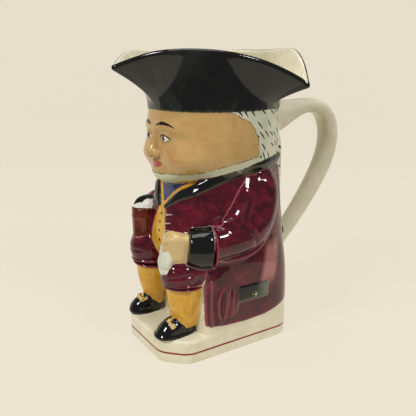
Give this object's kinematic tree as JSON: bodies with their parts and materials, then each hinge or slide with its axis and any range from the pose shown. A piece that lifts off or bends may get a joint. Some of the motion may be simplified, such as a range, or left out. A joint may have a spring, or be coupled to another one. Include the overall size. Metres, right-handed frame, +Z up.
{
  "type": "toby jug",
  "caption": "Glazed pottery figure jug: a seated man whose three-cornered hat is the open mouth and spout, with a loop handle behind.",
  "frame": {"origin": "middle of the flat underside of the base", "axes": "+Z up; the figure faces -Y, so the handle is on +Y; +X is the figure's left"},
  "size_m": [0.0976, 0.1562, 0.1669],
  "materials": {
    "glazed_earthenware": "hand-painted, clear gloss glaze"
  },
  "bodies": {
    "root": {"toby_jug": "glazed_earthenware"}
  },
  "joints": []
}
